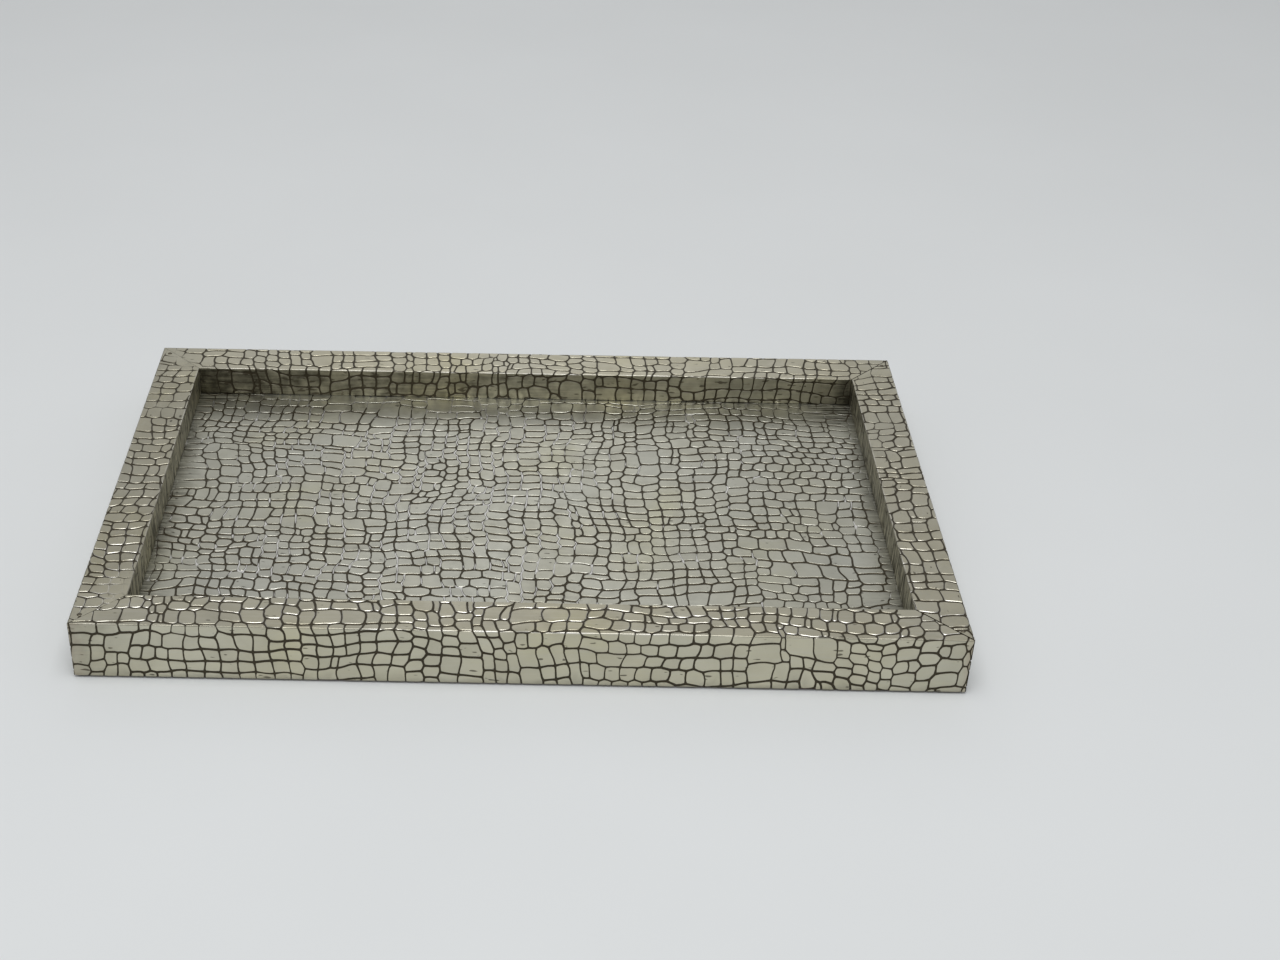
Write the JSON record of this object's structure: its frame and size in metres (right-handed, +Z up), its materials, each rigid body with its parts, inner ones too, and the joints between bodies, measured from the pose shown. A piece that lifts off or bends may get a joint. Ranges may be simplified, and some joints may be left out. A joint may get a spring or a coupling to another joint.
{
  "type": "tray",
  "caption": "Low rectangular tray with a mitred frame and sunken base, clad in crocodile-embossed white metal sheet over wood, standing on a felt backing.",
  "frame": {"origin": "ground level in the middle of the underside", "axes": "+X along the long side to the right, +Y along the short side to the back, +Z up"},
  "size_m": [0.38, 0.245, 0.0288],
  "materials": {
    "embossed_sheet": "white metal embossed with a crocodile grain, worn pale on the plateaus and dark in the grooves",
    "rail_wood": "plain sawn softwood",
    "key_wood": "thin birch ply, glued",
    "board_wood": "fibreboard, unfinished",
    "corner_pin_metal": "darkened domed heads",
    "board_pin_steel": "bright drawn",
    "felt": "dark red-brown felt"
  },
  "bodies": {
    "root": {"rail_core_front": "rail_wood", "rail_core_right": "rail_wood", "rail_core_back": "rail_wood", "rail_core_left": "rail_wood", "corner_key_front_left": "key_wood", "corner_key_front_right": "key_wood", "corner_key_back_right": "key_wood", "corner_key_back_left": "key_wood", "base_board": "board_wood", "board_pin_front_1": "board_pin_steel", "board_pin_front_2": "board_pin_steel", "board_pin_front_3": "board_pin_steel", "board_pin_front_4": "board_pin_steel", "board_pin_right_1": "board_pin_steel", "board_pin_right_2": "board_pin_steel", "board_pin_back_1": "board_pin_steel", "board_pin_back_2": "board_pin_steel", "board_pin_back_3": "board_pin_steel", "board_pin_back_4": "board_pin_steel", "board_pin_left_1": "board_pin_steel", "board_pin_left_2": "board_pin_steel", "rail_skin_front": "embossed_sheet", "rail_skin_right": "embossed_sheet", "rail_skin_back": "embossed_sheet", "rail_skin_left": "embossed_sheet", "base_skin": "embossed_sheet", "corner_pin_front_left": "corner_pin_metal", "corner_pin_front_right": "corner_pin_metal", "corner_pin_back_right": "corner_pin_metal", "corner_pin_back_left": "corner_pin_metal", "felt_backing": "felt"}
  },
  "joints": []
}
